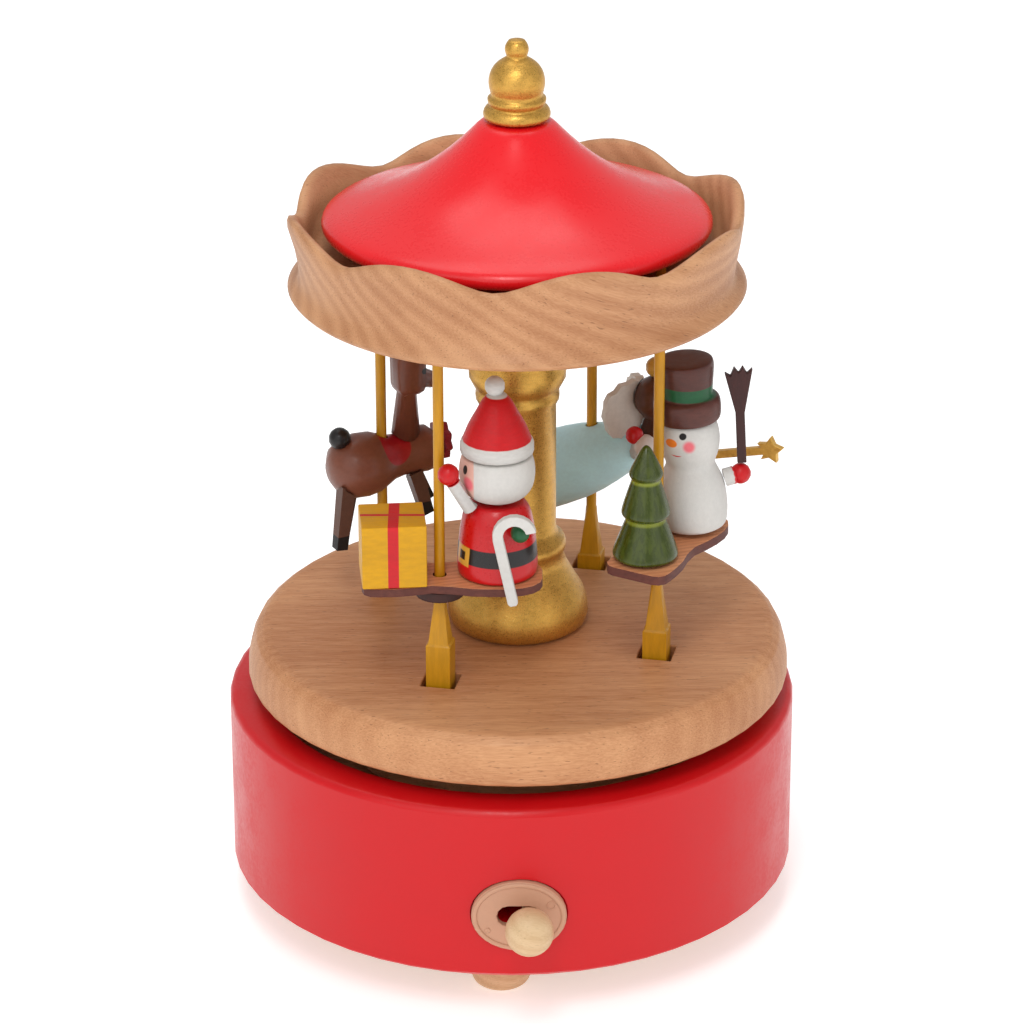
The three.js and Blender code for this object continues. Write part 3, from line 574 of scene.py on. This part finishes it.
def small_tree(snow):
    """Streaky green stain with a lighter line at the rim of each tier."""
    look = Look("tree_stain")
    up = look.parts(look.space(*snow))[2]
    streaks = look.noise(look.space(stretch=(1, 1, 6)), size=0.9, detail=4.0, rough=0.6)
    tone = look.mix(look.ramp(streaks, 0.35, 0.7), colour(50, 62, 6), colour(66, 78, 12))
    rims = look.math("MAXIMUM", look.band(up, 8.5, 9.3, 0.3), look.band(up, 17.1, 17.8, 0.3))
    tone = look.mix(rims, tone, colour(122, 130, 34))
    gloss = look.ramp(streaks, 0.3, 0.7, 0.2, 0.36)
    dressed("tree", look.finish(tone, gloss, height=streaks, depth=0.05, coat=0.3), round_off=2, angle=70)


def pinch(point):
    """A clearer waist between the snow figure's head and body."""
    low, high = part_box("snowman_body")
    level = (point.z - low.z) / (high.z - low.z)
    axis = Vector(((low.x + high.x) / 2, (low.y + high.y) / 2, point.z))
    return axis + (point - axis) * (1 - swell(level, *WAIST))


def snow_figure(snow):
    """Snow figure with a painted face, a banded hat, a red mitten and a broom."""
    eyes = dot(snow, (-2.02, 4.08, 23.0), (2.5, 0.78, 0.75))
    cheek = ball(snow, (-2.4, 5.76, 20.8), 1.45, 0.3)
    carrot = dot(snow, (-2.2, 1.6, 21.2), (2.0, 1.4, 0.9))
    smile = both(dot(snow, (-2.2, 2.8, 20.2), (1.4, 2.4, 2.0), 0.04), zone(snow, "Z", 17.0, 18.6, 0.06))
    face = [(eyes, BLACK), (cheek, CHEEK), (carrot, colour(236, 128, 40)), (smile, colour(200, 40, 44))]
    paint = painted("snow_paint", WHITE, face, rough=0.55, coat=0.0, depth=0.06, brush=0.05)
    dressed("snowman_body", paint, round_off=2, angle=60, settle=pinch)
    hat_band = zone(snow, "Z", 30.1, 32.8, 0.15)
    hat = painted("hat_paint", colour(92, 50, 42), [(hat_band, GREEN)], rough=0.42, coat=0.15, brush=0.2,
                  stretch=(2, 2, 0.7))
    dressed("snowman_hat", hat, round_off=2, angle=50)
    mitten = ball(snow, (-15.6, 11, 11.5), 2.6, 0.04)
    dressed("snowman_arm", painted("snow_sleeve", WHITE, [(mitten, RED)], rough=0.45, coat=0.15), angle=50)
    dressed("broom", dark_wood, edge=0.2)


def angel_figure(angel):
    """Flying angel with brown hair under a gold bun, pale blue robe and a wand."""
    pale_blue = colour(190, 234, 242)
    dressed("angel_robe", painted("robe_paint", pale_blue, rough=0.42, coat=0.15, brush=0.06), angle=40)
    face = [(dot(angel, (20.6, 0, 15.4), (3.4, 3.9, 4.1), 0.05), PINK_SKIN)]
    for side in (1, -1):
        face.append((dot(angel, (20.2, side * 1.7, 16.0), (1.2, 0.5, 0.55)), BLACK))
    for side in (1, -1):
        face.append((dot(angel, (19.6, side * 2.8, 14.2), (1.5, 0.9, 0.9), 0.3), CHEEK))
    face.append((dot(angel, (14.9, 0, 23.6), (2.5, 2.5, 2.4), 0.04), GOLD))
    hair = painted("angel_hair", colour(96, 54, 34), face, rough=0.4, coat=0.2, brush=0.2)
    dressed("angel_head", hair, angle=50)
    feather = painted("wing_paint", colour(214, 206, 196), rough=0.5, coat=0.05)
    dressed("angel_wings", feather, edge=0.3)
    near_hand = ball(angel, (13.6, -8, 10.5), 2.15, 0.04)
    cuff = painted("angel_cuff", colour(220, 208, 200), [(near_hand, RED)], rough=0.4, coat=0.2)
    dressed("angel_sleeve", cuff, angle=50)
    dressed("angel_arm", painted("angel_mitten", pale_blue, rough=0.4, coat=0.2), angle=50)
    wand_gold = metallic("wand_gold", colour(222, 176, 84), colour(170, 120, 48), rough=0.4, metal=0.5,
                         grain=0.4, depth=0.04)
    dressed("wand", wand_gold, edge=0.15)


def deer_figure(deer):
    """Leaping reindeer with a red chest, dark antlers, tail and hooves, and a bow."""
    chest = dot(deer, (1.8, -3, 4.4), (3.5, 9, 4.4), 0.06)
    flank_mark = dot(deer, (-10.8, -4.5, 4.8), (0.45, 2, 0.45))
    coat = painted("deer_coat", BROWN, [(chest, colour(164, 16, 26)), (flank_mark, BLACK)],
                   rough=0.4, coat=0.2, brush=0.12)
    dressed("deer_body", coat, angle=40)
    eyes = [dot(deer, (9.0, side * 2.6, 19.4), (0.7, 1.2, 0.7)) for side in (1, -1)]
    nose = dot(deer, (12.6, 0, 16.2), (1.0, 1.4, 1.2))
    face = painted("deer_face", BROWN, [(patch, BLACK) for patch in (*eyes, nose)],
                   rough=0.4, coat=0.2, brush=0.12)
    dressed("deer_head", face, angle=40)
    dressed("deer_antlers", dark_wood, edge=0.2)
    dressed("deer_tail", painted("tail_paint", BLACK, rough=0.35, coat=0.2), angle=50)
    hoof_high = 3.3
    for i in (1, 2, 3, 4):
        ground = ((0, 0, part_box(f"deer_leg_{i}")[0].z), (0, 0, 0))
        hoof = zone(ground, "Z", -1, hoof_high, 0.1)
        leg = painted(f"leg_paint_{i}", colour(96, 62, 48), [(hoof, BLACK)], rough=0.5, coat=0.1,
                      brush=0.15)
        dressed(f"deer_leg_{i}", leg, edge=0.2)
    bow = painted("bow_paint", colour(142, 24, 38), rough=0.45, coat=0.1, brush=0.15)
    dressed("deer_bow", bow, edge=0.2)


santa_place = rider_space(1, SANTA_HEADING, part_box("board_1")[1].z)
snow_place = rider_space(2, SNOW_HEADING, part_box("board_2")[1].z)
poles_and_boards()
gift_box(santa_place)
santa_figure(santa_place)
small_tree(snow_place)
snow_figure(snow_place)
angel_figure(rider_space(3, ANGEL_HEADING, ANGEL_Z * MM))
deer_figure(rider_space(4, DEER_HEADING, DEER_Z * MM))


# ---- floor, light and camera ----------------------------------------------------------------------
def build_floor():
    """White paper under the box, which glows a little so that it stays white in the picture."""
    mesh = bpy.data.meshes.new("floor")
    bm = bmesh.new()
    corners = ((-1, -1), (1, -1), (1, 1), (-1, 1))
    bm.faces.new([bm.verts.new((x * FLOOR_REACH, y * FLOOR_REACH, 0)) for x, y in corners])
    bm.to_mesh(mesh)
    bm.free()
    floor = bpy.data.objects.new("floor", mesh)
    bpy.context.scene.collection.objects.link(floor)
    look = Look("floor_paper")
    grain = look.noise(look.space(), size=3.0)
    tone = look.mix(grain, colour(246, 246, 246), colour(250, 250, 250))
    floor.data.materials.append(look.finish(tone, roughness=0.8, height=grain, depth=0.01, specular=0.1))
    look.shader.inputs["Emission Color"].default_value = (1, 1, 1, 1)
    look.shader.inputs["Emission Strength"].default_value = FLOOR_GLOW


def softbox(name, place, target, size, power):
    """White area light that looks at a target. Metres and watts."""
    data = bpy.data.lights.new(name, "AREA")
    data.shape = "RECTANGLE"
    data.size, data.size_y = size
    data.energy = power
    light = bpy.data.objects.new(name, data)
    light.location = place
    light.rotation_euler = (Vector(target) - Vector(place)).to_track_quat("-Z", "Y").to_euler()
    bpy.context.scene.collection.objects.link(light)


build_floor()
softbox("key_light", (-0.6, -1.2, 0.8), target=(0, 0, 0.1), size=(1.5, 1.3), power=5.5)
softbox("fill_light", (1.0, -0.9, 0.4), target=(0, 0, 0.08), size=(1.1, 1.1), power=2.6)
softbox("top_light", (-0.05, 0.25, 0.9), target=(0, 0, 0.15), size=(0.6, 0.4), power=1.6)
softbox("neck_light", (-0.08, -0.62, 1.0), target=(0, 0, 0.16), size=(0.22, 0.5), power=3.0)
world = bpy.data.worlds.new("studio")
world.use_nodes = True
world.node_tree.nodes["Background"].inputs["Color"].default_value = (1, 1, 1, 1)
world.node_tree.nodes["Background"].inputs["Strength"].default_value = WORLD_LIGHT
bpy.context.scene.world = world
bpy.context.scene.view_settings.view_transform = "Standard"

camera = bpy.data.objects.new("camera", bpy.data.cameras.new("camera"))
camera.data.sensor_width = CAMERA_SENSOR
camera.data.lens = CAMERA_LENS
tilt = Matrix.Rotation(math.radians(90 - CAMERA_DOWN), 4, "X")
roll = Matrix.Rotation(math.radians(CAMERA_ROLL), 4, "Z")
camera.matrix_world = Matrix.Translation(CAMERA_PLACE) @ (tilt @ roll)
bpy.context.scene.collection.objects.link(camera)
bpy.context.scene.camera = camera
